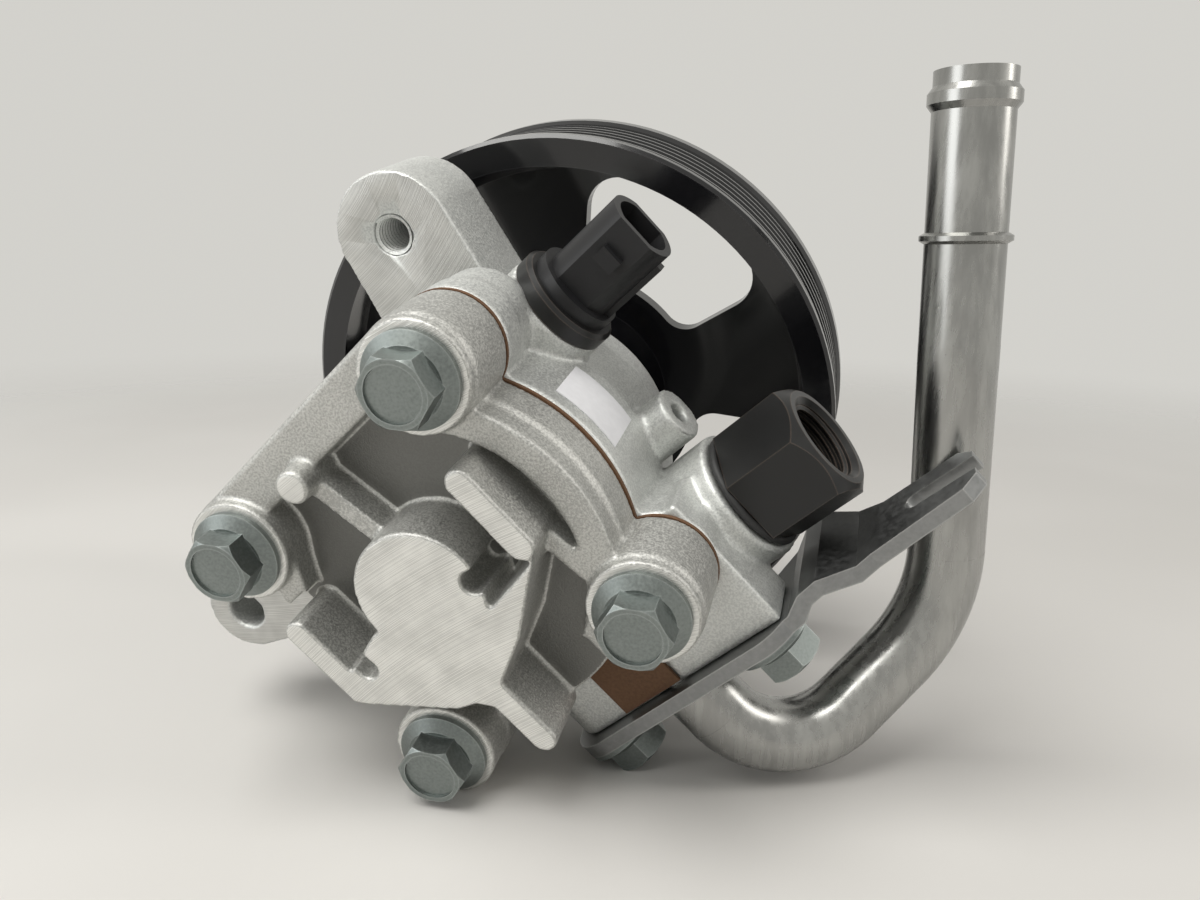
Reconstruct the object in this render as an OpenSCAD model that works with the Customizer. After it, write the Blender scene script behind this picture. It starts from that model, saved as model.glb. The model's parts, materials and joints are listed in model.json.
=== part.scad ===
// Belt-driven vane pump for hydraulic power steering, with its suction pipe.
// The shaft runs along Y. The origin is the centre of the pulley rim's edge on the pump side,
// so the pump body lies towards -Y and the pulley towards +Y.
// Ports lean 45 degrees: t runs along them, up and to the right, and n across them, down and right.

/* [Pulley] */
// Outside diameter of the belt rim
pulley_d = 135.4; // [130:0.2:142]
// Width of the belt rim
rim_w = 29.9; // [28:0.1:33]
// Radial thickness of the rim
rim_t = 7.1; // [6:0.1:8]
// Number of belt grooves
groove_count = 6; // [4:1:6]
// Pitch of the belt grooves
groove_pitch = 3.56; // [3:0.02:3.7]
// Thickness of the pulley web
web_t = 4; // [3:0.2:5]
// Distance of the web from the rim's pump-side edge
web_y = 14; // [12:0.5:16]
// Number of openings in the web
window_count = 4; // [3:1:5]
// Half the angle that a web opening covers
window_half = 26.5; // [22:0.5:27]
// Inner radius of the web openings
window_r = 32; // [30:0.5:34]
// Radius of the pulley hub
hub_r = 15; // [14:0.2:17]

/* [Housing] */
// Radius of the pump body between its bolt bosses
body_r = 36; // [35:0.1:37]
// Radius of the middle of the housing
waist_r = 34; // [33:0.1:34.8]
// Radius of the bearing nose
nose_r = 31; // [28:0.2:32]
// Distance from the pulley rim's edge to the end of the nose
nose_gap = 12; // [11:0.5:14]
// Length of the housing casting from its nose to the cover joint
housing_l = 53.2; // [53:0.2:55]
// Radius of the circle of cover bolts
cover_bolt_r = 39.5; // [39:0.1:41]
// Radius of each cover bolt boss
boss_r = 10.8; // [10.4:0.1:11.4]
// Radius of the cartridge cavity
cavity_r = 22; // [21:0.1:22.6]
// Depth of the cartridge cavity
cavity_depth = 24; // [23.6:0.1:24.6]

/* [Mounting ears] */
// Upper ear hole, across the shaft
upper_ear_x = -24.5; // [-27:0.5:-22]
// Upper ear hole, height above the shaft
upper_ear_z = 51.5; // [49:0.5:55]
// Outside radius of the upper ear
upper_ear_r = 13; // [12:0.2:14]
// Radius of the tapped hole in the upper ear
upper_hole_r = 4.25; // [4:0.05:5]
// Distance from the pulley rim's edge to the upper ear's machined face
upper_face = 36; // [33:0.5:38]
// Thickness of the upper ear
upper_ear_t = 20; // [16:0.5:22]
// Lower ear hole, across the shaft
lower_ear_x = -56; // [-59:0.5:-54]
// Lower ear hole, height below the shaft
lower_ear_z = -29.5; // [-32:0.5:-27]
// Outside radius of the lower ear
lower_ear_r = 9.5; // [9:0.1:11]
// Radius of the hole in the lower ear
lower_hole_r = 4.3; // [4:0.1:5]
// Distance from the pulley rim's edge to the lower ear's machined face
lower_face = 62; // [58:0.5:64]
// Thickness of the lower ear
lower_ear_t = 20; // [16:0.5:22]

/* [Rear cover] */
// Thickness of the cover's floor
cover_t = 8; // [7:0.2:9]
// Height of the cast rims above the joint
rim_h = 13.6; // [12.6:0.2:14.6]
// Height of the bolt seats above the joint
seat_h = 16; // [15:0.2:18]
// Height of the machined pad above the joint
pad_h = 21; // [19.4:0.2:23]
// Radius of the pad's centre disc
pad_disc_r = 12.8; // [12:0.1:13.4]
// Width of the pad's arms
pad_arm_w = 5.2; // [4.6:0.1:6]
// Thickness of the joint gasket
gasket_t = 0.8; // [0.5:0.1:1]

/* [Flange bolts] */
// Shank diameter of the bolts
bolt_d = 8; // [7:0.5:8]
// Width across the flats of the bolt heads
bolt_af = 12; // [11:0.5:13]
// Diameter of the bolt flange
bolt_flange_d = 17.8; // [16.5:0.1:18.2]
// Height of the bolt head with its flange
bolt_head_h = 7.5; // [7:0.1:9]
// Depth of the bolt threads in the housing
bolt_grip = 12; // [10:0.5:14]

/* [Valve and ports] */
// Distance of the valve bore from the shaft
valve_n = 32.8; // [32.4:0.1:33.2]
// Distance of the valve bore from the pulley rim's edge
valve_plane = 44; // [43.4:0.1:44.6]
// Radius of the flow control bore
valve_r = 7.2; // [6.6:0.1:7.4]
// Width across the flats of the outlet fitting
fitting_af = 23; // [22:0.2:24]
// Length of the outlet fitting outside the housing
fitting_l = 19.5; // [17:0.5:23]
// Radius of the tapped outlet
outlet_r = 8.2; // [7:0.1:8.8]
// Distance of the pressure switch from the shaft
switch_n = 20; // [19.4:0.2:21]
// Distance of the pressure switch from the pulley rim's edge
switch_plane = 40; // [39:0.5:41]
// Length of the pressure switch outside the housing
switch_l = 23.5; // [21:0.5:26]
// Radius of the hole in the small boss beside the outlet
lug_hole_r = 2.2; // [1.8:0.1:2.6]

/* [Suction pipe] */
// Outside diameter of the pipe
pipe_d = 15; // [14:0.1:15.4]
// Wall thickness of the pipe
pipe_wall = 1.2; // [1:0.1:1.6]
// Thickness of the bracket plate
plate_t = 3.2; // [2.8:0.1:3.6]
// Distance of the bracket plate from the shaft
plate_n = 50; // [49.6:0.1:51]
// Width of the bracket's flange
flange_w = 18; // [17:0.2:19]
// Distance between the two flange bolts
flange_pitch = 41.4; // [40:0.2:43]
// Width of the fork's slot
slot_w = 5; // [4:0.2:6]
// Length of the fork's slot
slot_l = 15; // [12:0.5:17]

/* [Pumping cartridge] */
// Radius of the rotor
rotor_r = 14.5; // [14:0.1:15]
// Width of the rotor
rotor_w = 17.8; // [17:0.1:18]
// Number of vanes
vane_count = 10; // [8:2:10]
// Thickness of a vane
vane_t = 1.6; // [1.2:0.1:1.7]
// Height of a vane
vane_h = 5.6; // [5:0.1:5.8]
// Rise of the cam ring between its short and long axis
cam_lift = 2.4; // [1.6:0.1:2.8]

/* [Shaft] */
// Radius of the shaft in the bearing and the pulley
shaft_r = 8.5; // [8:0.1:9]
// Radius of the shaft's rear journal
journal_r = 5.6; // [5.2:0.1:5.8]
// Outside radius of the bearing
bearing_r = 20; // [19:0.1:20.6]
// Width of the bearing
bearing_w = 12; // [11:0.2:12.4]
// Radius of the shaft seal
seal_r = 14; // [13:0.1:15]

/* [Clearances] */
// Radial gap of running and sliding fits
run_gap = 0.05; // [0.02:0.01:0.08]
// Gap between parts that only lie beside each other
part_gap = 0.2; // [0.1:0.05:0.25]

/* [Hidden] */
// How far straight sides stay inside the arcs that they run into
tangent_lap = 0.03;
$fn = 64;

// Stations along the shaft
joint_y = -nose_gap - housing_l;
cover_y = joint_y - gasket_t;
floor_y = cover_y - cover_t;
cover_rim_y = cover_y - rim_h;
seat_y = cover_y - seat_h;
pad_y = cover_y - pad_h;
cavity_y = joint_y + cavity_depth;
waist_y = -42;
collar_y = -26;
boss_l = 13;
boss_draft = 0.3;
boss_dome = 5;
upper_ear = [upper_ear_x, upper_ear_z];
lower_ear = [lower_ear_x, lower_ear_z];

// Pumping cartridge, from the cover towards the pulley
plate_l = 6;
cam_w = cavity_depth + gasket_t - plate_l - part_gap;
plate_y = cover_y + cam_w + part_gap / 2;
rotor_y = cover_y + (cam_w - rotor_w) / 2;
cam_min_r = rotor_r + 0.5;
vane_tip_r = rotor_r - 0.1;

// Shaft, bearing and seal
journal_l = 9;
spline_teeth = 16;
spline_h = 0.8;
bearing_y = -nose_gap - 5 - bearing_w;
ball_d = 6.7;
ball_count = 8;
ball_r = (shaft_r + bearing_r) / 2;
race_t = 3.2;
race_gap = 0.05;
snap_t = 1.4;
seal_w = 7;
seal_y = bearing_y - 3 - seal_w;
web_fillet = 2.4;
hub_rear_y = -8;
hub_front_y = web_y + web_t + 3;
washer_t = 2;
nut_af = 22;
nut_h = 10;
thread_r = 7;
shaft_end_y = hub_front_y + washer_t + nut_h + 4;

// Valve bore and ports
valve_boss_r = 14;
valve_top = 42;
valve_bottom = -22;
fitting_thread = 10;
spool_l = 30;
spool_top = valve_top - fitting_thread - 0.4;
spring_r = 4.6;
spring_wire = 1.5;
spring_l = spool_top - spool_l - valve_bottom;
switch_top = 37.6;
switch_r = 5;
switch_boss_r = 11.4;
lug_n = 12;
lug_top = 40.8;
lug_r = 5.8;

// Suction flange and bracket
suction_t = 10.8;
suction_y = joint_y + 5.6;
suction_r = 5.2;
suction_depth = 8;
spigot_l = suction_depth - 1.6;
flange_top = plate_n + plate_t;
block_end = 38;
fork_t = 80;
fork_y = -48.5;
fork_n = 51.2;
joggle_n = 48.2;

// Pipe corners chosen by hand, after the flange and the first drop
pipe_drop = 81;
pipe_route = [[93.5, -36, -20], [89.3, -28.5, 33], [85.6, -17, 84]];
pipe_bends = [19, 30, 60];
bend_lap = 0.4;
bend_swell = 0.03;

function unit(v) = v / norm(v);
function port_point(n, y, t) = [(t + n) * sqrt(0.5), y, (t - n) * sqrt(0.5)];
function cam_r(a) = cam_min_r + cam_lift * (1 - cos(2 * a)) / 2;
function bolt_at(i) = cover_bolt_r * [cos(90 * i), sin(90 * i)];
function polar(r, a) = r * [cos(a), sin(a)];
function arc(c, r, a0, a1, n) = [for (k = [0:n]) c + polar(r, a0 + (a1 - a0) * k / n)];

// A solid of revolution about the shaft; the profile holds radius and Y
module turned(profile) {
    rotate([-90, 0, 0]) rotate_extrude() polygon(profile);
}

module ring(r_in, r_out, y0, y1) {
    turned([[r_in, y0], [r_out, y0], [r_out, y1], [r_in, y1]]);
}

// A disc about an axis parallel to the shaft
module disc(r, y0, y1, at = [0, 0]) {
    translate([at[0], y0, at[1]]) rotate([-90, 0, 0]) cylinder(r = r, h = y1 - y0);
}

// A plate between two stations, from an outline drawn in X and Z
module slab(y0, y1) {
    translate([0, y1, 0]) rotate([90, 0, 0]) linear_extrude(y1 - y0) children();
}

// The frame of the ports: local X is n, local Z is t
module port_frame(n = 0, y = 0, t = 0) {
    rotate([0, 45, 0]) translate([n, y, t]) children();
}

// A plate across n, from an outline drawn in t (reversed) and Y
module port_slab(n0, n1) {
    port_frame(n0) rotate([0, 90, 0]) linear_extrude(n1 - n0) children();
}

// A strip with round ends between two points
module bar(a, b, w) {
    translate(a) circle(d = w);
    translate(b) circle(d = w);
    inner = w - 2 * tangent_lap;
    translate(a) rotate(atan2(b[1] - a[1], b[0] - a[0])) translate([0, -inner / 2]) square([norm(b - a), inner]);
}

// The outline around two circles with their common tangents
module strap(a, ra, b, rb) {
    turn = atan2(b[1] - a[1], b[0] - a[0]);
    lean = acos((ra - rb) / norm(b - a));
    translate(a) circle(r = ra);
    translate(b) circle(r = rb);
    sa = ra - tangent_lap;
    sb = rb - tangent_lap;
    polygon([a + polar(sa, turn - lean), b + polar(sb, turn - lean), b + polar(sb, turn + lean),
             a + polar(sa, turn + lean)]);
}

// A part of a ring, centred on the X axis
module sector(r0, r1, half) {
    reach = 2 * r1;
    intersection() {
        difference() {
            circle(r = r1);
            circle(r = r0);
        }
        polygon([[0, 0], polar(reach, -half), polar(reach, half)]);
    }
}

module at_cover_bolts() {
    for (i = [0:3]) translate([bolt_at(i)[0], 0, bolt_at(i)[1]]) children();
}

// Pulley

module rim_profile() {
    r = pulley_d / 2;
    crest = r - 0.7;
    root = crest - 2.4;
    first = 3.4;
    polygon(concat(
        [[r - rim_t, 0], [r - 0.8, 0], [r, 0.8], [r, first - 0.8]],
        [for (i = [0:groove_count - 1]) each [
            [crest, first + (i + 0.1) * groove_pitch], [root, first + (i + 0.38) * groove_pitch],
            [root, first + (i + 0.62) * groove_pitch], [crest, first + (i + 0.9) * groove_pitch]]],
        [[r, first + groove_count * groove_pitch + 1], [r, rim_w - 0.8], [r - 0.8, rim_w],
         [r - rim_t, rim_w]]));
}

// A web opening with round corners, centred on the X axis
module window() {
    outer = pulley_d / 2 - rim_t - web_fillet - 0.6;
    corner = 8;
    lean = asin(corner / (outer - corner));
    inner_corner = window_r * sin(lean) / (1 - sin(lean));
    turn = window_half - lean;
    side = window_half + 90;
    far = polar(outer - corner, turn);
    near = polar(window_r + inner_corner, turn);
    half = concat(arc([0, 0], outer, 0, turn, 8), arc(far, corner, turn + 6, side, 10),
                  arc(near, inner_corner, side, turn + 174, 10), arc([0, 0], window_r, turn, 0, 6));
    polygon(concat(half, [for (k = [len(half) - 2:-1:1]) [half[k][0], -half[k][1]]]));
}

module pulley() {
    inner = pulley_d / 2 - rim_t;
    color([0.03, 0.03, 0.03]) difference() {
        union() {
            rotate([-90, 0, 0]) rotate_extrude() rim_profile();
            turned([[shaft_r, hub_rear_y], [hub_r, hub_rear_y], [hub_r + 1, 2], [hub_r + 9, web_y],
                    [inner - web_fillet, web_y], [inner, web_y - web_fillet], [inner + 1, web_y - web_fillet],
                    [inner + 1, web_y + web_t + web_fillet], [inner, web_y + web_t + web_fillet], [inner - web_fillet, web_y + web_t],
                    [hub_r + 4, web_y + web_t], [hub_r, hub_front_y], [shaft_r, hub_front_y]]);
        }
        for (i = [0:window_count - 1]) slab(web_y - 2, web_y + web_t + 2)
            rotate(60 + i * 360 / window_count) window();
    }
}

module pulley_washer() {
    color([0.55, 0.56, 0.56]) ring(thread_r + run_gap, hub_r - 1.5, hub_front_y, hub_front_y + washer_t);
}

module pulley_nut() {
    face = nut_af / cos(30);
    color([0.6, 0.61, 0.6]) translate([0, hub_front_y + washer_t, 0]) rotate([-90, 0, 0]) difference() {
        intersection() {
            cylinder(d = face, h = nut_h, $fn = 6);
            translate([0, 0, -1]) cylinder(d1 = face + 6, d2 = nut_af - 0.6, h = nut_h + 1);
        }
        translate([0, 0, -1]) cylinder(r = thread_r, h = nut_h + 2);
    }
}

// Shaft, bearing and seal

module spline(grow) {
    pitch = 360 / spline_teeth;
    polygon([for (i = [0:spline_teeth - 1], k = [[0, 0], [0.2, 1], [0.5, 1], [0.7, 0]])
        polar(journal_r + grow + k[1] * spline_h, (i + k[0]) * pitch)]);
}

module drive_shaft() {
    step_y = plate_y + plate_l + 1;
    color([0.7, 0.7, 0.7]) {
        turned([[0, cover_y - journal_l], [journal_r - 0.5, cover_y - journal_l],
                [journal_r, cover_y - journal_l + 0.5], [journal_r, step_y], [shaft_r - 0.5, step_y],
                [shaft_r, step_y + 0.5], [shaft_r, hub_front_y - 0.5], [thread_r, hub_front_y - 0.5],
                [thread_r, shaft_end_y - 1], [thread_r - 1, shaft_end_y], [0, shaft_end_y]]);
        slab(rotor_y + 0.4, rotor_y + rotor_w + 1) spline(0);
    }
}

module race_groove() {
    rotate([-90, 0, 0]) rotate_extrude() translate([ball_r, bearing_y + bearing_w / 2])
        circle(d = ball_d + 2 * race_gap);
}

module bearing_outer_ring() {
    color([0.75, 0.75, 0.75]) difference() {
        ring(bearing_r - race_t, bearing_r, bearing_y, bearing_y + bearing_w);
        race_groove();
    }
}

module bearing_inner_ring() {
    color([0.75, 0.75, 0.75]) difference() {
        ring(shaft_r, shaft_r + race_t, bearing_y, bearing_y + bearing_w);
        race_groove();
    }
}

module at_balls() {
    for (i = [0:ball_count - 1]) rotate([0, i * 360 / ball_count, 0])
        translate([ball_r, bearing_y + bearing_w / 2, 0]) children();
}

module bearing_balls() {
    color([0.8, 0.8, 0.8]) at_balls() sphere(d = ball_d);
}

module bearing_cage() {
    color([0.6, 0.55, 0.4]) difference() {
        ring(ball_r - 1, ball_r + 1, bearing_y + 1.6, bearing_y + bearing_w - 1.6);
        at_balls() rotate([0, 90, 0]) cylinder(d = ball_d + 2 * race_gap, h = 8, center = true);
    }
}

module bearing_snap_ring() {
    back = bearing_y + bearing_w + part_gap;
    color([0.3, 0.3, 0.3]) difference() {
        ring(bearing_r - 2.6, bearing_r + 1, back, back + snap_t);
        translate([-2.5, back - 1, -bearing_r - 2]) cube([5, snap_t + 2, 6]);
    }
}

module shaft_seal() {
    color([0.12, 0.08, 0.06]) difference() {
        ring(shaft_r + run_gap, seal_r, seal_y, seal_y + seal_w);
        turned([[shaft_r + 1.6, seal_y - 1], [seal_r - 1.4, seal_y - 1], [seal_r - 1.4, seal_y + 4.6],
                [shaft_r + 2.6, seal_y + 4.6]]);
    }
}

// Pumping cartridge

module cam_ring() {
    color([0.6, 0.6, 0.6]) slab(cover_y, cover_y + cam_w) difference() {
        circle(r = cavity_r - part_gap);
        polygon([for (a = [0:4:356]) polar(cam_r(a), a)]);
    }
}

module at_vanes() {
    for (i = [0:vane_count - 1]) rotate((i + 0.5) * 360 / vane_count) translate([vane_tip_r - vane_h, 0]) children();
}

module rotor() {
    color([0.65, 0.65, 0.66]) slab(rotor_y, rotor_y + rotor_w) difference() {
        circle(r = rotor_r);
        spline(run_gap);
        at_vanes() {
            translate([-part_gap, -vane_t / 2 - run_gap]) square([rotor_r, vane_t + 2 * run_gap]);
            translate([-part_gap, 0]) circle(d = vane_t * 1.4);
        }
    }
}

module vanes() {
    color([0.72, 0.72, 0.7]) slab(rotor_y, rotor_y + rotor_w) at_vanes()
        translate([0, -vane_t / 2]) square([vane_h, vane_t]);
}

module rotor_snap_ring() {
    color([0.3, 0.3, 0.3]) ring(journal_r, journal_r + 1.6, rotor_y + rotor_w + 1.1, rotor_y + rotor_w + 2);
}

module pressure_plate() {
    color([0.62, 0.6, 0.55]) difference() {
        ring(journal_r + 3, cavity_r - part_gap, plate_y, plate_y + plate_l);
        ring(cavity_r - part_gap - 1.4, cavity_r, plate_y + plate_l / 2 - 1, plate_y + plate_l / 2 + 1);
        for (i = [0:1]) disc(2.4, plate_y - 1, plate_y + plate_l + 1, polar(rotor_r + 1, 180 * i + 45));
        ring(0, journal_r + 5, plate_y - 1, plate_y + 2.6);
    }
}

module plate_seal() {
    color([0.05, 0.05, 0.05]) rotate([-90, 0, 0]) rotate_extrude()
        translate([cavity_r - 0.8, plate_y + plate_l / 2]) circle(r = 0.8);
}

// Housing and cover

// The joint's outline: four bolt bosses on a round body, straight between the top and the left boss
module joint_outline(r) {
    flat = 31.5;
    difference() {
        circle(r = r);
        rotate(-135) translate([flat, -r]) square([r, 2 * r]);
    }
    for (i = [0, 3]) translate(bolt_at(i)) circle(r = boss_r);
    bar(bolt_at(1), bolt_at(2), 2 * boss_r);
    for (i = [2:3]) bar(bolt_at(i) * 0.9, bolt_at(i) * 0.5, 1.6 * boss_r);
}

// The block under the suction flange, a hair short of the joint on its rear side
module suction_block_outline() {
    end = block_end - suction_t;
    rear = joint_y + 0.06;
    side = 2 * (suction_y - rear) + 2;
    translate([-suction_t - end, rear + tangent_lap]) square([2 * end - 6, side - 2 * tangent_lap]);
    translate([-suction_t + end - 6, rear + side / 2]) circle(d = side);
}

module gasket_patch() {
    rotate(-45) translate([20, -2]) square([plate_n - 21, 15]);
}

module housing_solid() {
    turned([[0, joint_y], [body_r, joint_y], [body_r, waist_y - 2], [waist_r, waist_y], [waist_r, collar_y],
            [nose_r, collar_y + 2], [nose_r, -nose_gap - 1.5], [nose_r - 1.5, -nose_gap], [0, -nose_gap]]);
    slab(joint_y, joint_y + 8) joint_outline(body_r - 0.5);
    at_cover_bolts() translate([0, joint_y + 4, 0]) rotate([-90, 0, 0]) rotate_extrude() polygon([
        [0, 0], [boss_r - boss_draft, 0], [boss_r - 2 * boss_draft, boss_l], [boss_r - 4, boss_l + boss_dome],
        [0, boss_l + boss_dome]]);
    slab(-upper_face, -upper_face + upper_ear_t) strap(upper_ear, upper_ear_r, [-7, 22], 14);
    slab(-lower_face, -lower_face + lower_ear_t) strap(lower_ear, lower_ear_r, [-30, -14], 13);
    port_frame(-switch_n, -switch_plane) cylinder(r = switch_boss_r, h = switch_top);
    port_frame(valve_n, -valve_plane, valve_bottom - 5) cylinder(r = valve_boss_r, h = valve_top - valve_bottom + 5);
    port_frame(lug_n, -switch_plane) cylinder(r = lug_r, h = lug_top);
    port_slab(20, plate_n) suction_block_outline();
    slab(joint_y, joint_y + 8) gasket_patch();
}

module housing_holes() {
    disc(cavity_r, joint_y - 1, cavity_y);
    disc(shaft_r + 0.5, cavity_y - 1, -nose_gap);
    disc(seal_r, seal_y, bearing_y);
    disc(bearing_r, bearing_y, -nose_gap + 1);
    disc(bearing_r + 1.2, bearing_y + bearing_w, bearing_y + bearing_w + snap_t + 2 * part_gap);
    at_cover_bolts() translate([0, joint_y - 1, 0]) rotate([-90, 0, 0]) cylinder(r = bolt_d / 2, h = bolt_grip + 2);
    disc(upper_hole_r, -upper_face - 1, -upper_face + upper_ear_t + 1, upper_ear);
    disc(lower_hole_r, -lower_face - 1, -lower_face + lower_ear_t + 1, lower_ear);
    for (s = [-1, 1]) disc(2, joint_y - 1, joint_y + 5.2, s * polar(29, -45));
    port_frame(lug_n, -switch_plane, lug_top - 9) cylinder(r = lug_hole_r, h = 10);
    port_frame(valve_n, -valve_plane, valve_bottom) cylinder(r = valve_r, h = valve_top - valve_bottom + 1);
    port_frame(valve_n, -valve_plane, valve_top - fitting_thread) cylinder(r = outlet_r + 0.8, h = fitting_thread + 1);
    port_frame(-switch_n, -switch_plane, switch_top - 14) cylinder(r = switch_r, h = 15);
    port_frame(plate_n - suction_depth, suction_y, suction_t) rotate([0, 90, 0])
        cylinder(r = suction_r + part_gap, h = suction_depth + 1);
    for (s = [-1, 1]) port_frame(plate_n - bolt_grip - 1, suction_y, suction_t + s * flange_pitch / 2)
        rotate([0, 90, 0]) cylinder(r = bolt_d / 2, h = bolt_grip + 2);
}

module front_housing() {
    color([0.72, 0.72, 0.7]) difference() {
        housing_solid();
        housing_holes();
    }
}

// The machined pad: a centre disc, a body below it and three arms, with two slots cut in
module pad_outline() {
    difference() {
        union() {
            circle(r = pad_disc_r);
            polygon([[-10, -10], [-17, -22], [-14, -27], [6, -24], [9.4, -22], [13, -22], [15.6, -13.9],
                     [18.6, -5.7], [21.6, 11], [18, 6], [12, -2]]);
            bar([8.9, 23.6], [19.4, 13], pad_arm_w);
            bar([-26, -13], [-14.6, -24.4], pad_arm_w);
            bar([12, -17], [22.4, -27.4], pad_arm_w);
        }
        bar([10.4, 4.6], [16.6, 9], 4.6);
        bar([-12, -18.4], [-17.6, -14], 4.2);
    }
}

module rear_cover() {
    post = [-24, 17.3];
    color([0.66, 0.65, 0.62]) difference() {
        union() {
            slab(floor_y, cover_y) joint_outline(body_r - 0.4);
            slab(cover_rim_y, floor_y + 1) difference() {
                joint_outline(body_r - 1);
                circle(r = 29);
                bar(bolt_at(1) - [3, 8], bolt_at(2) - [-8, -3], 10);
                for (a = [-90, -45, -135]) rotate(a) translate([26, -14]) square([30, 28]);
            }
            slab(seat_y, floor_y + 1) for (i = [0:3]) translate(bolt_at(i)) circle(r = boss_r - 0.4);
            slab(pad_y, floor_y + 1) pad_outline();
            disc(3.3, pad_y + 2, floor_y + 1, post);
            slab(cover_rim_y - 1, floor_y + 1) bar(post, post * 0.45, 4);
            slab(cover_rim_y, floor_y + 1) bar([14, 17], bolt_at(0) * 0.9, 4);
        }
        at_cover_bolts() translate([0, seat_y - 1, 0]) rotate([-90, 0, 0])
            cylinder(r = bolt_d / 2 + part_gap, h = seat_h + 2);
        disc(journal_r + run_gap, cover_y - journal_l - 1, cover_y + 1);
        for (s = [-1, 1]) disc(2, cover_y - 5.2, cover_y + 1, s * polar(29, -45));
    }
}

module cover_gasket() {
    color([0.42, 0.2, 0.1]) slab(cover_y, joint_y) difference() {
        union() {
            joint_outline(body_r - 0.2);
            gasket_patch();
        }
        circle(r = cavity_r);
        for (i = [0:3]) translate(bolt_at(i)) circle(r = bolt_d / 2 + part_gap);
        for (s = [-1, 1]) translate(s * polar(29, -45)) circle(r = 2 + run_gap);
    }
}

// A flanged hex bolt with its seat at zero, leaving along local Z
module flange_bolt(length) {
    translate([0, 0, -length]) cylinder(d = bolt_d, h = length + 1);
    rotate_extrude() polygon([[0, 0], [bolt_flange_d / 2, 0], [bolt_flange_d / 2, 1.1],
                              [bolt_af / 2 + 0.6, 2.6], [0, 2.6]]);
    difference() {
        intersection() {
            translate([0, 0, 1]) cylinder(d = bolt_af / cos(30), h = bolt_head_h - 1, $fn = 6);
            cylinder(d1 = bolt_af + 2 * bolt_head_h + 1, d2 = bolt_af + 0.2, h = bolt_head_h);
        }
        translate([0, 0, bolt_head_h - 0.5]) cylinder(d = bolt_af - 1.8, h = 1);
    }
}

module cover_bolts() {
    color([0.5, 0.53, 0.52]) at_cover_bolts() translate([0, seat_y, 0]) rotate([90, 0, 0])
        flange_bolt(joint_y - seat_y + bolt_grip);
}

module cover_dowels() {
    color([0.7, 0.7, 0.7]) for (s = [-1, 1]) disc(2, cover_y - 5, joint_y + 5, s * polar(29, -45));
}

// Flow control valve and outlet

module flow_spool() {
    color([0.7, 0.7, 0.7]) port_frame(valve_n, -valve_plane, spool_top - spool_l) difference() {
        cylinder(r = valve_r - run_gap, h = spool_l);
        for (z = [9, 19]) translate([0, 0, z]) difference() {
            cylinder(r = valve_r + 1, h = 5);
            cylinder(r = valve_r - 1.6, h = 5);
        }
        translate([0, 0, -1]) cylinder(r = spring_r + spring_wire, h = 7);
    }
}

// A coil spring: a small circle carried round a helix
module spool_spring() {
    turns = 8;
    sides = 8;
    steps = 16 * turns;
    rise = spring_l + 6 - spring_wire - 2 * part_gap;
    function rim(k, j) = let (a = 360 * k * turns / steps, b = 360 * j / sides, r = spring_r + spring_wire / 2 * cos(b))
        [r * cos(a), r * sin(a), spring_wire / 2 * (1 + sin(b)) + rise * k / steps];
    function at(k, j) = k * sides + j % sides;
    color([0.5, 0.5, 0.5]) port_frame(valve_n, -valve_plane, valve_bottom + part_gap) polyhedron(
        [for (k = [0:steps], j = [0:sides - 1]) rim(k, j)],
        concat([[for (j = [0:sides - 1]) at(0, j)], [for (j = [sides - 1:-1:0]) at(steps, j)]],
               [for (k = [0:steps - 1], j = [0:sides - 1]) [at(k, j), at(k + 1, j), at(k + 1, j + 1), at(k, j + 1)]]));
}

module outlet_fitting() {
    face = fitting_af / cos(30);
    color([0.03, 0.03, 0.03]) port_frame(valve_n, -valve_plane, valve_top) difference() {
        union() {
            translate([0, 0, -fitting_thread]) cylinder(r = outlet_r + 0.8, h = fitting_thread + 1);
            translate([0, 0, part_gap]) cylinder(d = fitting_af - 0.4, h = 2);
            intersection() {
                translate([0, 0, 1.8]) cylinder(d = face, h = fitting_l - 1.8, $fn = 6);
                cylinder(d1 = face + 2 * fitting_l, d2 = fitting_af - 1.6, h = fitting_l);
            }
        }
        translate([0, 0, fitting_l - 14]) cylinder(r = outlet_r, h = 15);
        translate([0, 0, fitting_l - 1.2]) cylinder(r1 = outlet_r - 0.2, r2 = outlet_r + 1.4, h = 1.4);
        translate([0, 0, -fitting_thread - 1]) cylinder(r = 3.6, h = fitting_l + fitting_thread);
    }
}

module fitting_seal() {
    color([0.05, 0.05, 0.05]) port_frame(valve_n, -valve_plane, valve_top + 0.9) rotate_extrude()
        translate([fitting_af / 2 + 0.5, 0]) circle(r = 0.8);
}

// Pressure switch

module plug_outline(grow) {
    intersection() {
        circle(d = 14.8 + 2 * grow);
        square([14.8 + 2 * grow, 12.6 + 2 * grow], center = true);
    }
}

module switch_frame(z) {
    port_frame(-switch_n, -switch_plane, switch_top + z) children();
}

module switch_base() {
    color([0.03, 0.03, 0.03]) switch_frame(0) {
        translate([0, 0, -10]) cylinder(r = switch_r, h = 11);
        cylinder(d = 22.4, h = 3);
        translate([0, 0, 3]) cylinder(d1 = 22.4, d2 = 20.8, h = 0.8);
    }
}

module switch_connector() {
    color([0.03, 0.03, 0.03]) switch_frame(0) difference() {
        union() {
            translate([0, 0, 3.8]) cylinder(d = 18.4, h = 2.6);
            translate([0, 0, 6.2]) linear_extrude(switch_l - 6.2) plug_outline(0);
            translate([-2.2, -8.6, switch_l - 8.4]) cube([4.4, 3, 3]);
            translate([5.6, -1.6, 6.2]) cube([2.8, 3.2, switch_l - 9]);
        }
        translate([0, 0, switch_l - 12]) linear_extrude(13) plug_outline(-1.5);
        translate([0, 0, switch_l - 13]) terminal_blades(run_gap);
    }
}

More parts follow.
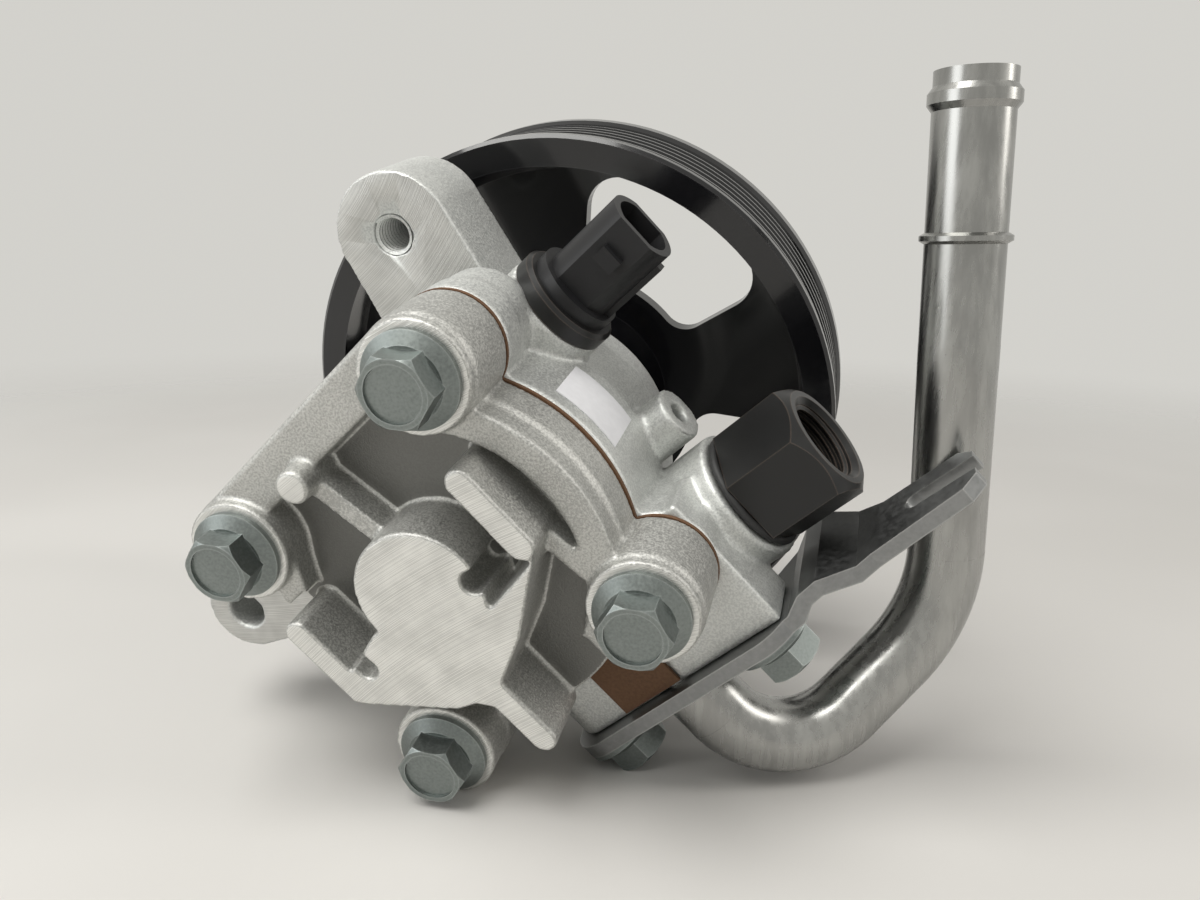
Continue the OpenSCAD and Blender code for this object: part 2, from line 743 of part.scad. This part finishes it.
// Two flat blades, with room around them where they stand in a wall
module terminal_blades(room) {
    for (s = [-1, 1]) translate([s * 2.6 - 0.4 - room, -1.1 - room, 0]) cube([0.8 + 2 * room, 2.2 + 2 * room, 9]);
}

module switch_terminals() {
    color([0.75, 0.65, 0.4]) switch_frame(switch_l - 13) terminal_blades(0);
}

// Suction pipe: straight runs joined by round bends

route = concat([port_point(flange_top, suction_y, suction_t), port_point(pipe_drop, suction_y, suction_t)], pipe_route);
last = len(route) - 1;
function leg(i) = unit(route[i + 1] - route[i]);
function turn_at(i) = acos(leg(i - 1) * leg(i));
function trim_at(i) = i <= 0 || i >= last ? 0 : pipe_bends[i - 1] * tan(turn_at(i) / 2);

// Puts local Z along a direction, with local X as given
module aim(origin, x, z) {
    y = cross(z, x);
    multmatrix([[x[0], y[0], z[0], origin[0]], [x[1], y[1], z[1], origin[1]], [x[2], y[2], z[2], origin[2]],
                [0, 0, 0, 1]]) children();
}

module tube(r, wall, length) {
    difference() {
        cylinder(r = r, h = length);
        translate([0, 0, -1]) cylinder(r = r - wall, h = length + 2);
    }
}

// A straight run reaches a little into the bends at its ends
module pipe_run(i) {
    start = trim_at(i) - (i > 0 ? bend_lap : 0);
    end = trim_at(i + 1) - (i < last - 1 ? bend_lap : 0);
    length = norm(route[i + 1] - route[i]) - start - end;
    aim(route[i] + leg(i) * start, unit(cross(leg(i), [0, 1, 0])), leg(i)) tube(pipe_d / 2, pipe_wall, length);
}

// The wall of a bend is a touch thicker than that of the runs, so that they join cleanly
module pipe_bend(i) {
    axis = unit(cross(leg(i - 1), leg(i)));
    inward = unit(cross(axis, leg(i - 1)));
    r = pipe_bends[i - 1];
    aim(route[i] - leg(i - 1) * trim_at(i) + inward * r, -inward, axis) difference() {
        rotate_extrude(angle = turn_at(i)) translate([r, 0]) circle(r = pipe_d / 2 + bend_swell);
        rotate_extrude(angle = turn_at(i)) translate([r, 0]) circle(r = pipe_d / 2 - pipe_wall - bend_swell);
    }
}

// A rolled bead, measured back from the hose end
module pipe_bead(back, rise, w) {
    mid = pipe_d / 2 - pipe_wall / 2;
    aim(route[last] - leg(last - 1) * back, unit(cross(leg(last - 1), [0, 1, 0])), leg(last - 1)) rotate_extrude()
        polygon([[mid, -w / 2], [pipe_d / 2 + rise, -w / 6], [pipe_d / 2 + rise, w / 6], [mid, w / 2]]);
}

module suction_pipe() {
    color([0.55, 0.55, 0.53]) {
        for (i = [0:last - 1]) pipe_run(i);
        for (i = [1:last - 1]) pipe_bend(i);
        pipe_bead(5, 0.9, 6);
        pipe_bead(30, 1, 2.8);
        port_frame(plate_n - spigot_l, suction_y, suction_t) rotate([0, 90, 0]) difference() {
            union() {
                cylinder(r = suction_r - run_gap, h = spigot_l + plate_t + 1);
                translate([0, 0, spigot_l + plate_t + 0.4]) cylinder(d = pipe_d - pipe_wall, h = 1.5);
            }
            translate([0, 0, -1]) cylinder(r = suction_r - pipe_wall, h = spigot_l + plate_t + 4);
        }
    }
}

// The bracket seen from the side, in n and t
module bracket_profile() {
    polygon([[plate_n, -25], [plate_n, 39.4], [joggle_n, 43], [joggle_n, 47], [fork_n, 54], [fork_n, fork_t + 2],
             [fork_n + plate_t, fork_t + 2], [fork_n + plate_t, 53], [joggle_n + plate_t, 46.4],
             [joggle_n + plate_t, 44], [flange_top, 41], [flange_top, -25]]);
}

// The bracket seen flat, in t (reversed) and Y
module bracket_outline() {
    half = flange_pitch / 2;
    rear = suction_y - flange_w / 2;
    front = suction_y + flange_w / 2;
    difference() {
        union() {
            bar([-suction_t - half, suction_y], [-suction_t + half, suction_y], flange_w);
            polygon([[-suction_t - 6, suction_y], [-suction_t - half + 2, front - 0.5], [-46, fork_y + 14],
                     [-60, fork_y + 7.5], [-fork_t + 3, fork_y + 7.5], [-fork_t, fork_y + 4.5],
                     [-fork_t, fork_y - 4.5], [-fork_t + 3, fork_y - 7.5], [-57, fork_y - 10],
                     [-suction_t - half, rear + 0.5]]);
        }
        bar([-fork_t + slot_l - slot_w / 2, fork_y], [-fork_t - 6, fork_y], slot_w);
        translate([-suction_t, suction_y]) circle(r = suction_r + part_gap / 2);
        for (s = [-1, 1]) translate([-suction_t + s * half, suction_y]) circle(r = bolt_d / 2 + part_gap);
    }
}

module suction_bracket() {
    color([0.36, 0.37, 0.38]) intersection() {
        port_frame(0, -20, 0) rotate([90, 0, 0]) linear_extrude(60) bracket_profile();
        port_slab(joggle_n - 4, flange_top + 8) bracket_outline();
    }
}

module suction_seal() {
    color([0.05, 0.05, 0.05]) port_frame(plate_n - suction_depth + 0.8, suction_y, suction_t) rotate([0, 90, 0])
        rotate_extrude() translate([suction_r - 0.8, 0]) circle(r = 0.8);
}

module suction_bolts() {
    color([0.5, 0.53, 0.52]) for (s = [-1, 1])
        port_frame(flange_top, suction_y, suction_t + s * flange_pitch / 2) rotate([0, 90, 0])
            flange_bolt(plate_t + bolt_grip);
}

module label() {
    color([0.9, 0.9, 0.9]) rotate([-90, 0, 0]) rotate([0, 0, -60]) rotate_extrude(angle = 24)
        translate([body_r, joint_y + 4]) square([0.15, 13]);
}

front_housing();
rear_cover();
cover_gasket();
cover_bolts();
cover_dowels();
drive_shaft();
bearing_outer_ring();
bearing_inner_ring();
bearing_cage();
bearing_balls();
bearing_snap_ring();
shaft_seal();
pulley();
pulley_washer();
pulley_nut();
rotor();
vanes();
rotor_snap_ring();
cam_ring();
pressure_plate();
plate_seal();
flow_spool();
spool_spring();
outlet_fitting();
fitting_seal();
switch_base();
switch_connector();
switch_terminals();
suction_bracket();
suction_pipe();
suction_seal();
suction_bolts();
label();
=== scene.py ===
"""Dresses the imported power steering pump: castings with soft edges, threads, finishes, light and camera."""
import json
import math

import bmesh
import bpy
from mathutils import Matrix, Vector


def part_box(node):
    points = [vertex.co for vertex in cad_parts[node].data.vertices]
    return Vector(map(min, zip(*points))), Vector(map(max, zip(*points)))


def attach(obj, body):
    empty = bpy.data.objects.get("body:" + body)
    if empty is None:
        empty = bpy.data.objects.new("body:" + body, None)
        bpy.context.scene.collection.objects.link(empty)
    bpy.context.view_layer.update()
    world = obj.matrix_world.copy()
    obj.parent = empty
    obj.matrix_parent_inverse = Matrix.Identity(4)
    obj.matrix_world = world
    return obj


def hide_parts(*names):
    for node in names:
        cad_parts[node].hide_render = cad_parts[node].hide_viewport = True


MM = 0.001
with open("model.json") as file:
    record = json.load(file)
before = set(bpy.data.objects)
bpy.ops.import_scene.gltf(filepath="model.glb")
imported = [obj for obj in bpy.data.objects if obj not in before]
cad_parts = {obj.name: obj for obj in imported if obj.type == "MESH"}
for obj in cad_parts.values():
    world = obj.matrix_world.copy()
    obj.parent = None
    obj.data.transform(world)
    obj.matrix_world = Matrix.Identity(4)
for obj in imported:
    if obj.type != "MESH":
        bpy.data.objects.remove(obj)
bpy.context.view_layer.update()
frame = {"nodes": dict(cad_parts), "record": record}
nodes = frame["nodes"]
record = frame["record"]
scene = bpy.context.scene
scene.view_settings.view_transform = "Standard"

# Places taken from the frame
MOUNTS = {m["name"]: m for m in record["mounts"]}
PAD_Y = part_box("rear_cover")[0][1]
COVER_FACE_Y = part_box("rear_cover")[1][1]
POST_DROP = 2 * MM
POST_Y = PAD_Y + POST_DROP
POCKET_DEPTH = 13 * MM
POCKET_Y = PAD_Y + POCKET_DEPTH
BOLT_HEAD = 7.5 * MM
SEAT_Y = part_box("cover_bolts")[0][1] + BOLT_HEAD


def ear_face(name):
    """The Y of a mounting ear's machined face: its hole's middle less half its length."""
    mount = MOUNTS[name]
    return mount["pos_m"][1] - mount["dims"]["length_mm"] * MM / 2


UPPER_FACE_Y = ear_face("upper_ear_thread")
LOWER_FACE_Y = ear_face("lower_ear_bore")


# Camera, solved from the bolt circle and the pulley's edge in the photograph

CAMERA_AT = Vector((68.72, -219.52, 97.8)) * MM
CAMERA_AZIMUTH = math.radians(14.98)
CAMERA_ELEVATION = math.radians(25.31)
LENS_MM = 29.42
SENSOR_MM = 36


def make_camera():
    data = bpy.data.cameras.new("camera")
    data.lens = LENS_MM
    data.sensor_width = SENSOR_MM
    data.clip_start = 0.01
    data.clip_end = 20
    camera = bpy.data.objects.new("camera", data)
    camera.location = CAMERA_AT
    camera.rotation_euler = (math.pi / 2 - CAMERA_ELEVATION, 0, CAMERA_AZIMUTH)
    scene.collection.objects.link(camera)
    scene.camera = camera


make_camera()


# Node helpers

class Graph:
    """A short way to write a material's nodes: values and links are given by socket name."""

    def __init__(self, name):
        self.material = bpy.data.materials.new(name)
        self.material.use_nodes = True
        self.tree = self.material.node_tree
        self.shader = self.tree.nodes["Principled BSDF"]

    def add(self, kind, settings=None, **inputs):
        node = self.tree.nodes.new("ShaderNode" + kind)
        for key, value in (settings or {}).items():
            setattr(node, key, value)
        for key, value in inputs.items():
            self.put(node, key, value)
        return node

    def put(self, node, key, value):
        """Sets or links an input, named by its label or, where labels repeat, by i and its number."""
        numbered = key[0] == "i" and key[1:].isdigit()
        socket = node.inputs[int(key[1:])] if numbered else node.inputs[key]
        if isinstance(value, bpy.types.NodeSocket):
            self.tree.links.new(value, socket)
        else:
            socket.default_value = value

    def set(self, **inputs):
        for key, value in inputs.items():
            self.put(self.shader, key.replace("_", " "), value)

    def coords(self):
        return self.add("TexCoord").outputs["Object"]

    def math(self, operation, a, b=0.0):
        return self.add("Math", {"operation": operation}, i0=a, i1=b).outputs[0]

    def noise(self, vector, scale, detail=3.0, roughness=0.55):
        node = self.add("TexNoise", None, Scale=scale, Detail=detail, Roughness=roughness)
        self.put(node, "Vector", vector)
        return node.outputs["Fac"]

    def stretch(self, vector, scale):
        return self.add("Mapping", None, Vector=vector, Scale=scale).outputs["Vector"]

    def ramp(self, value, low, high, low_out=0.0, high_out=1.0):
        node = self.add("MapRange", {"interpolation_type": "SMOOTHSTEP"}, Value=value)
        limits = {"From Min": low, "From Max": high, "To Min": low_out, "To Max": high_out}
        for key, number in limits.items():
            node.inputs[key].default_value = number
        return node.outputs["Result"]

    def mix(self, factor, a, b):
        node = self.add("Mix", {"data_type": "RGBA"})
        self.put(node, "i0", factor)
        self.put(node, "i6", a)
        self.put(node, "i7", b)
        return node.outputs[2]

    def blend(self, factor, a, b):
        node = self.add("Mix", {"data_type": "FLOAT"})
        self.put(node, "i0", factor)
        self.put(node, "i2", a)
        self.put(node, "i3", b)
        return node.outputs[0]

    def bump(self, height, strength, distance):
        node = self.add("Bump", None, Height=height, Strength=strength, Distance=distance)
        self.put(self.shader, "Normal", node.outputs["Normal"])

    def facing_rear(self):
        """1 on surfaces that look towards -Y."""
        normal = self.add("NewGeometry").outputs["Normal"]
        y = self.add("SeparateXYZ", None, Vector=normal).outputs["Y"]
        return self.ramp(y, -0.97, -0.9, 1.0, 0.0)

    def at_level(self, vector, level, band=0.25 * MM):
        """1 where Y is within a band of the level."""
        y = self.add("SeparateXYZ", None, Vector=vector).outputs["Y"]
        away = self.math("ABSOLUTE", self.math("SUBTRACT", y, level))
        return self.ramp(away, band, band * 2, 1.0, 0.0)

    def edge_wear(self, radius):
        """1 near sharp edges, found from how far a rounded normal turns away."""
        rounded = self.add("Bevel", {"samples": 4}, Radius=radius).outputs["Normal"]
        plain = self.add("NewGeometry").outputs["Normal"]
        turn = self.add("VectorMath", {"operation": "DOT_PRODUCT"}, i0=rounded, i1=plain).outputs["Value"]
        return self.ramp(turn, 0.9, 0.995, 1.0, 0.0)

    def arcs(self, vector, centre, scale):
        """Tool marks: fine arcs round a far centre."""
        away = self.add("VectorMath", {"operation": "DISTANCE"}, i0=vector, i1=centre).outputs["Value"]
        node = self.add("TexNoise", {"noise_dimensions": "1D"}, W=self.math("MULTIPLY", away, scale))
        node.inputs["Detail"].default_value = 3.0
        return node.outputs["Fac"]


def colour(r, g, b):
    return (r, g, b, 1.0)


def shaded(base, factor):
    """A colour made lighter or darker."""
    return colour(*(min(1.0, c * factor) for c in base[:3]))


def cast_material(name, dark, light, machined, levels, arc_centre, pocket_y=None):
    """Sandy as-cast aluminium with machined faces at the given levels and painted shade darkening the pocket
    floors.
    """
    g = Graph(name)
    at = g.coords()
    fine = g.noise(at, 2300.0, 3.0, 0.7)
    broad = g.noise(at, 60.0, 3.0)
    cast = g.mix(g.ramp(g.blend(0.25, fine, broad), 0.4, 0.6), dark, light)
    if pocket_y is not None:
        # Painted shade: rear-facing pocket floors at pocket_y are mixed towards a dark grey.
        painted_pocket_shade = g.math("MULTIPLY", g.at_level(at, pocket_y, 0.9 * MM), g.facing_rear())
        cast = g.mix(g.math("MULTIPLY", painted_pocket_shade, 0.85), cast, colour(0.12, 0.12, 0.112))
    face = None
    for level in levels:
        here = g.at_level(at, level)
        face = here if face is None else g.math("MAXIMUM", face, here)
    face = g.math("MULTIPLY", face, g.facing_rear())
    marks = g.arcs(at, arc_centre, 1300.0)
    cloud = g.noise(at, 160.0, 2.0)
    cut = g.mix(g.ramp(g.blend(0.25, marks, cloud), 0.4, 0.6), machined, shaded(machined, 1.5))
    g.set(Base_Color=g.mix(face, cast, cut), Metallic=0.85)
    rough_cast = g.ramp(fine, 0.3, 0.7, 0.42, 0.6)
    rough_cut = g.ramp(marks, 0.3, 0.7, 0.3, 0.48)
    g.set(Roughness=g.blend(face, rough_cast, rough_cut))
    g.bump(g.blend(face, fine, g.math("MULTIPLY", marks, 0.5)), 0.6, 0.16 * MM)
    return g.material


def metal_material(name, dark, light, roughness, grain=900.0, stretch=(1, 1, 1), bump=0.1, worn=None):
    """Bare or plated steel with a fine grain, a slow change of tone and lighter edges where given."""
    g = Graph(name)
    at = g.coords()
    fine = g.noise(g.stretch(at, stretch), grain, 4.0, 0.6)
    cloud = g.noise(at, 25.0, 2.0)
    base = g.mix(g.ramp(g.blend(0.45, fine, cloud), 0.34, 0.66), dark, light)
    if worn:
        base = g.mix(g.math("MULTIPLY", g.edge_wear(0.5 * MM), 0.7), base, worn)
    g.set(Base_Color=base, Metallic=1.0)
    g.set(Roughness=g.ramp(fine, 0.3, 0.7, roughness - 0.04, roughness + 0.06))
    g.bump(fine, bump, 0.05 * MM)
    return g.material


def black_material(name, base, worn, wear, roughness, grain, bump, coat=0.0):
    """Black paint, plating or plastic with a fine texture and lighter rubbed edges."""
    g = Graph(name)
    at = g.coords()
    fine = g.noise(at, grain, 3.0)
    cloud = g.noise(at, 40.0, 3.0)
    rubbed = g.math("MULTIPLY", g.edge_wear(0.4 * MM), g.ramp(cloud, 0.3, 0.6, 0.2 * wear, wear))
    shade = g.mix(g.ramp(cloud, 0.3, 0.7), base, shaded(base, 1.3))
    g.set(Base_Color=g.mix(rubbed, shade, worn))
    g.set(Roughness=g.ramp(g.blend(0.5, fine, cloud), 0.3, 0.7, roughness - 0.03, roughness + 0.05))
    g.set(Coat_Weight=coat, Coat_Roughness=0.08)
    g.put(g.shader, "Specular IOR Level", 0.4)
    g.bump(fine, bump, 0.05 * MM)
    return g.material


def plain_material(name, base, roughness, grain=1500.0, bump=0.2, spread=0.25):
    """Matte paper, rubber or gasket board with a mottled tone."""
    g = Graph(name)
    at = g.coords()
    fine = g.noise(at, grain, 4.0)
    g.set(Base_Color=g.mix(g.ramp(fine, 0.3, 0.7), shaded(base, 1 - spread), base), Roughness=roughness)
    g.bump(fine, bump, 0.06 * MM)
    return g.material


HOUSING = cast_material("housing_cast", dark=colour(0.5, 0.51, 0.5), light=colour(0.68, 0.69, 0.67),
                        machined=colour(0.42, 0.42, 0.405), levels=[UPPER_FACE_Y, LOWER_FACE_Y],
                        arc_centre=(-0.075, 0.0, 0.09))
# The cover gets painted shade on its pocket floors at POCKET_Y.
COVER = cast_material("cover_cast", dark=colour(0.38, 0.38, 0.365), light=colour(0.6, 0.6, 0.575),
                      machined=colour(0.55, 0.55, 0.53), levels=[PAD_Y, POST_Y, SEAT_Y],
                      arc_centre=(0.11, 0.0, -0.14), pocket_y=POCKET_Y)
BOLT = metal_material("zinc_flake", colour(0.17, 0.19, 0.185), colour(0.25, 0.275, 0.265), 0.42, 1800.0, bump=0.2,
                      worn=colour(0.4, 0.43, 0.42))
STEEL = metal_material("ground_steel", colour(0.5, 0.5, 0.5), colour(0.64, 0.64, 0.63), 0.28)
PIPE = metal_material("pipe_steel", colour(0.3, 0.3, 0.29), colour(0.42, 0.42, 0.405), 0.26, 400.0,
                      stretch=(1, 1, 0.08), bump=0.05)
BRACKET = metal_material("bracket_steel", colour(0.24, 0.245, 0.245), colour(0.3, 0.305, 0.305), 0.36,
                         worn=colour(0.55, 0.55, 0.54))
PULLEY = black_material("pulley_paint", colour(0.006, 0.006, 0.007), colour(0.05, 0.05, 0.052), wear=0.6,
                        roughness=0.16, grain=500.0, bump=0.03, coat=0.4)
FITTING = black_material("fitting_black", colour(0.009, 0.009, 0.009), colour(0.12, 0.09, 0.07), wear=0.7,
                         roughness=0.3, grain=1600.0, bump=0.08)
PLASTIC = black_material("connector_plastic", colour(0.01, 0.01, 0.011), colour(0.03, 0.03, 0.03), wear=0.5,
                         roughness=0.42, grain=2400.0, bump=0.15)
GASKET = plain_material("gasket_board", colour(0.15, 0.075, 0.035), 0.75)
RUBBER = plain_material("seal_rubber", colour(0.025, 0.025, 0.025), 0.55)
LABEL = plain_material("label_paper", colour(0.78, 0.78, 0.8), 0.45, grain=600.0, bump=0.04, spread=0.05)
BRASS = metal_material("terminal_brass", colour(0.55, 0.44, 0.24), colour(0.72, 0.6, 0.36), 0.3)

NODE_FINISH = {
    "cover_gasket": GASKET, "cover_bolts": BOLT, "suction_bolts": BOLT, "pulley_nut": BOLT, "pulley_washer": BOLT,
    "pulley": PULLEY, "outlet_fitting": FITTING, "switch_base": FITTING, "switch_connector": PLASTIC,
    "switch_terminals": BRASS, "bearing_cage": BRASS, "suction_pipe": PIPE, "suction_bracket": BRACKET,
    "bearing_snap_ring": BRACKET, "rotor_snap_ring": BRACKET, "shaft_seal": RUBBER, "plate_seal": RUBBER,
    "fitting_seal": RUBBER, "suction_seal": RUBBER, "label": LABEL, "pressure_plate": HOUSING,
}
for name, node in nodes.items():
    node.data.materials.clear()
    node.data.materials.append(NODE_FINISH.get(name, STEEL))


# Castings: the CAD solids with soft cast edges and fillets

FLAT_BAND = 0.12 * MM
TRIANGLE_BUDGET = 180000


def apply_modifiers(piece):
    depsgraph = bpy.context.evaluated_depsgraph_get()
    mesh = bpy.data.meshes.new_from_object(piece.evaluated_get(depsgraph))
    piece.modifiers.clear()
    piece.data = mesh


def cast_copy(node, voxel, rounds, keep_levels, finish):
    """A remeshed, smoothed copy of a casting, its machined levels left flat, that stands for the node."""
    source = nodes[node]
    piece = bpy.data.objects.new(node + "_casting", source.data.copy())
    piece.matrix_world = source.matrix_world
    scene.collection.objects.link(piece)
    remesh = piece.modifiers.new("remesh", "REMESH")
    remesh.mode = "VOXEL"
    remesh.voxel_size = voxel
    apply_modifiers(piece)
    flat = [(v.index, level) for v in piece.data.vertices for level in keep_levels
            if abs(v.co.y - level) < FLAT_BAND]
    smooth = piece.modifiers.new("smooth", "SMOOTH")
    smooth.factor = 0.5
    smooth.iterations = rounds
    apply_modifiers(piece)
    for index, level in flat:
        vertex = piece.data.vertices[index]
        if abs(vertex.co.y - level) < FLAT_BAND:
            vertex.co.y = level
    decimate = piece.modifiers.new("decimate", "DECIMATE")
    decimate.ratio = min(1.0, TRIANGLE_BUDGET / (2 * len(piece.data.polygons)))
    apply_modifiers(piece)
    piece.data.materials.clear()
    piece.data.materials.append(finish)
    piece.data.polygons.foreach_set("use_smooth", [True] * len(piece.data.polygons))
    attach(piece, "pump_body")
    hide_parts(node)


cast_copy("front_housing", 0.6 * MM, 7, [UPPER_FACE_Y, LOWER_FACE_Y], HOUSING)
cast_copy("rear_cover", 0.45 * MM, 7, [PAD_Y, POST_Y, SEAT_Y, COVER_FACE_Y], COVER)

# Small edge rounds on the machined and moulded pieces
EDGE_ROUND_MM = {
    "cover_bolts": 0.35, "suction_bolts": 0.35, "pulley_nut": 0.35, "outlet_fitting": 0.4, "suction_bracket": 0.5,
    "switch_base": 0.35, "switch_connector": 0.45, "pulley": 0.4,
}
for name, width in EDGE_ROUND_MM.items():
    bevel = nodes[name].modifiers.new("edge_round", "BEVEL")
    bevel.width = width * MM
    bevel.segments = 2
    bevel.limit_method = "ANGLE"
    bevel.angle_limit = math.radians(28)


# Threads in the open holes

STEPS_A_TURN = 40


def thread(name, mount, length, start, pitch, crest, depth, finish):
    """A screw thread lining a hole: a closed ridge wound round the mount's axis."""
    data = MOUNTS[mount]
    axis = Vector(data["axis"]).normalized()
    frame_z = axis.to_track_quat("Z", "Y").to_matrix().to_4x4()
    place = Matrix.Translation(Vector(data["pos_m"]) + axis * start) @ frame_z
    rows = int(length / pitch * STEPS_A_TURN)
    outline = [(0.12, depth), (0.42, 0.0), (0.58, 0.0), (0.88, depth)]
    verts, faces = [], []
    for k in range(rows + 1):
        turn = 2 * math.pi * k / STEPS_A_TURN
        for rise, out in outline:
            r = crest + out
            z = (k / STEPS_A_TURN + rise) * pitch
            verts.append(place @ Vector((r * math.cos(turn), r * math.sin(turn), z)))
    width = len(outline)
    for k in range(rows):
        for j in range(width):
            a = k * width + j
            b = k * width + (j + 1) % width
            faces.append((a, b, b + width, a + width))
    faces.append(tuple(range(width - 1, -1, -1)))
    faces.append(tuple(range(rows * width, (rows + 1) * width)))
    mesh = bpy.data.meshes.new(name)
    mesh.from_pydata(verts, [], faces)
    shape = bmesh.new()
    shape.from_mesh(mesh)
    bmesh.ops.recalc_face_normals(shape, faces=shape.faces)
    shape.to_mesh(mesh)
    shape.free()
    mesh.materials.append(finish)
    piece = bpy.data.objects.new(name, mesh)
    scene.collection.objects.link(piece)
    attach(piece, "pump_body")


thread("upper_ear_screw_thread", "upper_ear_thread", length=18 * MM, start=-8.6 * MM, pitch=1.25 * MM,
       crest=3.55 * MM, depth=0.68 * MM, finish=HOUSING)
thread("outlet_screw_thread", "outlet_thread", length=11 * MM, start=-6.2 * MM, pitch=1.5 * MM,
       crest=7.4 * MM, depth=0.78 * MM, finish=FITTING)


# Floor: it passes under the pulley's edge, the lowest cover bolt and the pipe's bend, as in the photograph

RIM_LOW = Vector((0, 0, -67.7)) * MM
BOLT_LOW = Vector((0, -86, -48.3)) * MM
PIPE_LOW = Vector((62, -58, -51.9)) * MM
FLOOR_GAP = 0.1 * MM
FLOOR_HALF = 2.0
FADE_FROM, FADE_TO = 0.22, 0.75
BACKDROP = (0.65, 0.64, 0.605, 1.0)


def make_floor():
    """A pale sheet that fades into the backdrop with distance and is clear from below."""
    up = (BOLT_LOW - RIM_LOW).cross(PIPE_LOW - RIM_LOW).normalized()
    up = up if up.z > 0 else -up
    side = (Vector((1, 0, 0)) - up * up.x).normalized()
    along = up.cross(side)
    at = RIM_LOW - up * FLOOR_GAP
    signs = ((-1, -1), (1, -1), (1, 1), (-1, 1))
    corners = [at + side * sx * FLOOR_HALF + along * sy * FLOOR_HALF for sx, sy in signs]
    mesh = bpy.data.meshes.new("floor")
    mesh.from_pydata(corners, [], [(0, 1, 2, 3)])
    floor = bpy.data.objects.new("floor", mesh)
    scene.collection.objects.link(floor)
    g = Graph("floor_paper")
    place = g.coords()
    cloud = g.noise(place, 6.0, 2.0)
    paper = g.mix(g.ramp(cloud, 0.3, 0.7), colour(0.62, 0.605, 0.58), colour(0.66, 0.645, 0.62))
    g.set(Base_Color=paper, Roughness=0.55)
    away = g.add("VectorMath", {"operation": "LENGTH"}, i0=place).outputs["Value"]
    below = g.add("NewGeometry").outputs["Backfacing"]
    fade = g.math("MAXIMUM", g.ramp(away, FADE_FROM, FADE_TO), below)
    clear = g.add("BsdfTransparent").outputs[0]
    both = g.add("MixShader", None, i0=fade, i1=g.shader.outputs[0], i2=clear)
    g.tree.links.new(both.outputs[0], g.tree.nodes["Material Output"].inputs["Surface"])
    mesh.materials.append(g.material)


make_floor()


# Light: a wide soft sheet overhead, two side fills and a dim room whose pale backdrop is seen and reflected

def area_light(name, at, target, size, power, tint):
    data = bpy.data.lights.new(name, "AREA")
    data.shape = "RECTANGLE"
    data.size, data.size_y = size
    data.energy = power
    data.color = tint
    lamp = bpy.data.objects.new(name, data)
    lamp.location = at
    lamp.rotation_euler = (Vector(target) - Vector(at)).to_track_quat("-Z", "Y").to_euler()
    scene.collection.objects.link(lamp)


area_light("overhead", (-0.3, -0.2, 0.9), (0, -0.03, 0), (0.8, 0.6), 9.6, (1.0, 0.99, 0.96))
area_light("left_fill", (-0.8, -0.55, 0.35), (0, -0.03, 0), (0.5, 0.6), 2.2, (0.97, 0.985, 1.0))
area_light("right_strip", (0.75, 0.1, 0.45), (0.05, -0.03, 0.02), (0.2, 0.7), 2.0, (1.0, 0.97, 0.93))


def make_room():
    world = bpy.data.worlds.new("room")
    world.use_nodes = True
    tree = world.node_tree
    dim = tree.nodes["Background"]
    dim.inputs["Color"].default_value = (0.6, 0.595, 0.58, 1.0)
    dim.inputs["Strength"].default_value = 0.45
    pale = tree.nodes.new("ShaderNodeBackground")
    pale.inputs["Color"].default_value = BACKDROP
    rays = tree.nodes.new("ShaderNodeLightPath")
    seen = rays.outputs["Is Camera Ray"]
    for kind in ("Is Glossy Ray", "Is Transmission Ray"):
        either = tree.nodes.new("ShaderNodeMath")
        either.operation = "MAXIMUM"
        tree.links.new(seen, either.inputs[0])
        tree.links.new(rays.outputs[kind], either.inputs[1])
        seen = either.outputs[0]
    both = tree.nodes.new("ShaderNodeMixShader")
    tree.links.new(seen, both.inputs[0])
    tree.links.new(dim.outputs[0], both.inputs[1])
    tree.links.new(pale.outputs[0], both.inputs[2])
    tree.links.new(both.outputs[0], tree.nodes["World Output"].inputs["Surface"])
    scene.world = world


make_room()
